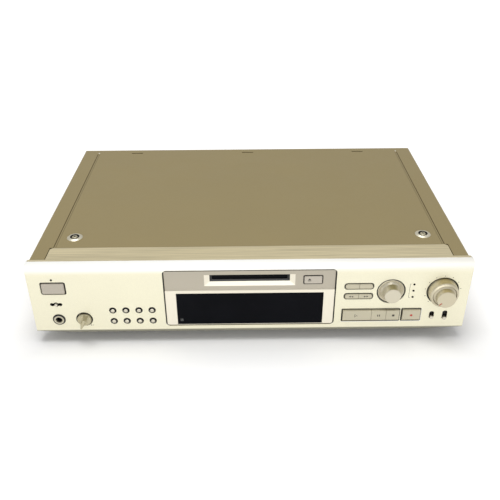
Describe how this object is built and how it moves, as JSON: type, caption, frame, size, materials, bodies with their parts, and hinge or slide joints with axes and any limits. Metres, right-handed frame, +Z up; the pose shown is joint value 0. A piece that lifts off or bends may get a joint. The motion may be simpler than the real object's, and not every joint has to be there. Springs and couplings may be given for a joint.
{
  "type": "minidisc deck",
  "caption": "Full-width disc deck with a curved front panel, centre slot and display window, push buttons, jog dial, double level knob and a folded steel cover.",
  "frame": {"origin": "centre of the overall box, on the plane the feet stand on", "axes": "+X to the right seen from the front, +Y to the back, +Z up"},
  "size_m": [0.43, 0.2952, 0.0967],
  "materials": {
    "panel_champagne": "satin metallic paint",
    "cover_paint": "fine textured metallic paint",
    "chassis_steel": "zinc-plated sheet",
    "foot_plastic": "moulded",
    "screw_steel": "plated",
    "rosette_metal": "satin",
    "bezel_plastic": "satin metallic paint",
    "window_smoke": "polished",
    "door_black": "satin",
    "button_champagne": "satin metallic paint",
    "knob_champagne": "turned, satin",
    "black_plastic": "moulded",
    "bush_metal": "nickel plated",
    "lamp_lens": "clear tinted",
    "board_laminate": "solder mask",
    "component_black": "moulded",
    "tube_glass": "polished",
    "core_steel": "laminated",
    "drive_steel": "zinc-plated sheet",
    "gear_white": "moulded acetal",
    "sled_zinc": "die cast"
  },
  "bodies": {
    "deck": {"front_panel": "panel_champagne", "top_cover": "cover_paint", "bottom_chassis": "chassis_steel", "rear_panel": "chassis_steel", "feet": "foot_plastic", "cover_screws": "screw_steel", "screw_rosettes": "rosette_metal", "center_bezel": "bezel_plastic", "display_window": "window_smoke", "phones_jack": "black_plastic", "phones_bush": "bush_metal", "indicator_lenses": "lamp_lens", "front_board": "board_laminate", "front_board_parts": "component_black", "display_tube": "tube_glass", "rca_jacks": "black_plastic", "optical_jacks": "black_plastic", "ac_inlet": "black_plastic", "main_board": "board_laminate", "main_board_parts": "component_black", "transformer": "core_steel", "mechanism_frame": "drive_steel", "sled_rails": "drive_steel", "mechanism_motors": "drive_steel"},
    "power_button": {"power_button": "button_champagne"},
    "scroll_button": {"scroll_button": "button_champagne"},
    "time_button": {"time_button": "button_champagne"},
    "fader_button": {"fader_button": "button_champagne"},
    "display_button": {"display_button": "button_champagne"},
    "continue_button": {"continue_button": "button_champagne"},
    "shuffle_button": {"shuffle_button": "button_champagne"},
    "program_button": {"program_button": "button_champagne"},
    "repeat_button": {"repeat_button": "button_champagne"},
    "eject_button": {"eject_button": "button_champagne"},
    "menu_button": {"menu_button": "button_champagne"},
    "yes_button": {"yes_button": "button_champagne"},
    "rewind_button": {"rewind_button": "button_champagne"},
    "forward_button": {"forward_button": "button_champagne"},
    "play_button": {"play_button": "button_champagne"},
    "pause_button": {"pause_button": "button_champagne"},
    "stop_button": {"stop_button": "button_champagne"},
    "record_button": {"record_button": "button_champagne"},
    "timer_slider": {"timer_slider": "button_champagne"},
    "phones_knob": {"phones_knob": "knob_champagne"},
    "ams_shaft": {"ams_shaft": "drive_steel"},
    "ams_knob": {"ams_knob": "knob_champagne"},
    "record_level_ring": {"record_level_ring": "knob_champagne"},
    "record_level_knob": {"record_level_knob": "knob_champagne"},
    "record_mode_slider": {"record_mode_slider": "button_champagne"},
    "input_slider": {"input_slider": "button_champagne"},
    "slot_door": {"slot_door": "door_black"},
    "disc_holder": {"disc_holder": "drive_steel"},
    "loading_slider": {"loading_slider": "drive_steel"},
    "loading_gear": {"loading_gear": "gear_white"},
    "loading_pinion": {"loading_pinion": "gear_white"},
    "turntable": {"turntable": "drive_steel"},
    "pickup_sled": {"pickup_sled": "sled_zinc"},
    "head_arm": {"head_arm": "drive_steel"},
    "sled_gear": {"sled_gear": "gear_white"},
    "sled_pinion": {"sled_pinion": "gear_white"}
  },
  "joints": [
    {"name": "power_press", "type": "slide", "parent": "deck", "child": "power_button", "axis": [0, 1, 0], "range_m": [0, 0.001], "stiffness_N_per_m": 400, "springref_m": -0.0005},
    {"name": "scroll_press", "type": "slide", "parent": "deck", "child": "scroll_button", "axis": [0, 1, 0], "range_m": [0, 0.0006], "stiffness_N_per_m": 400, "springref_m": -0.0005},
    {"name": "time_press", "type": "slide", "parent": "deck", "child": "time_button", "axis": [0, 1, 0], "range_m": [0, 0.0006], "stiffness_N_per_m": 400, "springref_m": -0.0005},
    {"name": "fader_press", "type": "slide", "parent": "deck", "child": "fader_button", "axis": [0, 1, 0], "range_m": [0, 0.0006], "stiffness_N_per_m": 400, "springref_m": -0.0005},
    {"name": "display_press", "type": "slide", "parent": "deck", "child": "display_button", "axis": [0, 1, 0], "range_m": [0, 0.0006], "stiffness_N_per_m": 400, "springref_m": -0.0005},
    {"name": "continue_press", "type": "slide", "parent": "deck", "child": "continue_button", "axis": [0, 1, 0], "range_m": [0, 0.0006], "stiffness_N_per_m": 400, "springref_m": -0.0005},
    {"name": "shuffle_press", "type": "slide", "parent": "deck", "child": "shuffle_button", "axis": [0, 1, 0], "range_m": [0, 0.0006], "stiffness_N_per_m": 400, "springref_m": -0.0005},
    {"name": "program_press", "type": "slide", "parent": "deck", "child": "program_button", "axis": [0, 1, 0], "range_m": [0, 0.0006], "stiffness_N_per_m": 400, "springref_m": -0.0005},
    {"name": "repeat_press", "type": "slide", "parent": "deck", "child": "repeat_button", "axis": [0, 1, 0], "range_m": [0, 0.0006], "stiffness_N_per_m": 400, "springref_m": -0.0005},
    {"name": "eject_press", "type": "slide", "parent": "deck", "child": "eject_button", "axis": [0, 1, 0], "range_m": [0, 0.0006], "stiffness_N_per_m": 400, "springref_m": -0.0005},
    {"name": "menu_press", "type": "slide", "parent": "deck", "child": "menu_button", "axis": [0, 1, 0], "range_m": [0, 0.0006], "stiffness_N_per_m": 400, "springref_m": -0.0005},
    {"name": "yes_press", "type": "slide", "parent": "deck", "child": "yes_button", "axis": [0, 1, 0], "range_m": [0, 0.0006], "stiffness_N_per_m": 400, "springref_m": -0.0005},
    {"name": "rewind_press", "type": "slide", "parent": "deck", "child": "rewind_button", "axis": [0, 1, 0], "range_m": [0, 0.0006], "stiffness_N_per_m": 400, "springref_m": -0.0005},
    {"name": "forward_press", "type": "slide", "parent": "deck", "child": "forward_button", "axis": [0, 1, 0], "range_m": [0, 0.0006], "stiffness_N_per_m": 400, "springref_m": -0.0005},
    {"name": "play_press", "type": "slide", "parent": "deck", "child": "play_button", "axis": [0, 1, 0], "range_m": [0, 0.0006], "stiffness_N_per_m": 400, "springref_m": -0.0005},
    {"name": "pause_press", "type": "slide", "parent": "deck", "child": "pause_button", "axis": [0, 1, 0], "range_m": [0, 0.0006], "stiffness_N_per_m": 400, "springref_m": -0.0005},
    {"name": "stop_press", "type": "slide", "parent": "deck", "child": "stop_button", "axis": [0, 1, 0], "range_m": [0, 0.0006], "stiffness_N_per_m": 400, "springref_m": -0.0005},
    {"name": "record_press", "type": "slide", "parent": "deck", "child": "record_button", "axis": [0, 1, 0], "range_m": [0, 0.0006], "stiffness_N_per_m": 400, "springref_m": -0.0005},
    {"name": "timer_slide", "type": "slide", "parent": "deck", "child": "timer_slider", "axis": [1, 0, 0], "range_m": [-0.0036, 0.0036]},
    {"name": "record_mode_slide", "type": "slide", "parent": "deck", "child": "record_mode_slider", "axis": [0, 0, 1], "range_m": [0, 0.005]},
    {"name": "input_slide", "type": "slide", "parent": "deck", "child": "input_slider", "axis": [0, 0, 1], "range_m": [0, 0.0069]},
    {"name": "phones_turn", "type": "hinge", "parent": "deck", "child": "phones_knob", "pos_m": [-0.1648, -0.1321, 0.0295], "axis": [0, 1, 0], "range_deg": [0, 300]},
    {"name": "ams_turn", "type": "hinge", "parent": "deck", "child": "ams_shaft", "pos_m": [0.13795, -0.1321, 0.05945], "axis": [0, 1, 0], "continuous": true},
    {"name": "ams_push", "type": "slide", "parent": "ams_shaft", "child": "ams_knob", "axis": [0, 1, 0], "range_m": [0, 0.001], "stiffness_N_per_m": 400, "springref_m": -0.0005},
    {"name": "record_level_ring_turn", "type": "hinge", "parent": "deck", "child": "record_level_ring", "pos_m": [0.1883, -0.1321, 0.0592], "axis": [0, 1, 0], "range_deg": [0, 300]},
    {"name": "record_level_knob_turn", "type": "hinge", "parent": "deck", "child": "record_level_knob", "pos_m": [0.1883, -0.1321, 0.0592], "axis": [0, 1, 0], "range_deg": [0, 300]},
    {"name": "slot_door_swing", "type": "hinge", "parent": "deck", "child": "slot_door", "pos_m": [0, -0.1261, 0.0809], "axis": [1, 0, 0], "range_deg": [0, 85], "stiffness_Nm_per_rad": 0.0005},
    {"name": "loading_slide", "type": "slide", "parent": "deck", "child": "loading_slider", "axis": [0, 1, 0], "range_m": [0, 0.018]},
    {"name": "holder_lower", "type": "slide", "parent": "deck", "child": "disc_holder", "axis": [0, 0, -1], "range_m": [0, 0.006]},
    {"name": "loading_gear_turn", "type": "hinge", "parent": "deck", "child": "loading_gear", "pos_m": [0.0212, -0.0061, 0.065], "axis": [0, 0, 1], "range_deg": [0, 215]},
    {"name": "loading_pinion_turn", "type": "hinge", "parent": "deck", "child": "loading_pinion", "pos_m": [0.0074, -0.0061, 0.065], "axis": [0, 0, 1], "range_deg": [-609, 0]},
    {"name": "head_arm_drop", "type": "hinge", "parent": "pickup_sled", "child": "head_arm", "pos_m": [0.0464, -0.0796, 0.0832], "axis": [0, -1, 0], "range_deg": [0, 13]},
    {"name": "turntable_turn", "type": "hinge", "parent": "deck", "child": "turntable", "pos_m": [0, -0.0796, 0.065], "axis": [0, 0, 1], "continuous": true},
    {"name": "sled_slide", "type": "slide", "parent": "deck", "child": "pickup_sled", "axis": [1, 0, 0], "range_m": [0, 0.016]},
    {"name": "sled_gear_turn", "type": "hinge", "parent": "deck", "child": "sled_gear", "pos_m": [0.03, -0.0513, 0.054], "axis": [0, 0, 1], "range_deg": [0, 191]},
    {"name": "sled_pinion_turn", "type": "hinge", "parent": "deck", "child": "sled_pinion", "pos_m": [0.0438, -0.0513, 0.051], "axis": [0, 0, 1], "range_deg": [-542, 0]}
  ],
  "couplings": [
    {"joint": "holder_lower", "follows": "loading_slide", "ratio": 0.33333},
    {"joint": "loading_gear_turn", "follows": "loading_slide", "rad_per_m": 208.33},
    {"joint": "loading_pinion_turn", "follows": "loading_slide", "rad_per_m": -590.28},
    {"joint": "head_arm_drop", "follows": "loading_slide", "rad_per_m": 12.411},
    {"joint": "sled_gear_turn", "follows": "sled_slide", "rad_per_m": 208.33},
    {"joint": "sled_pinion_turn", "follows": "sled_slide", "rad_per_m": -590.28}
  ]
}
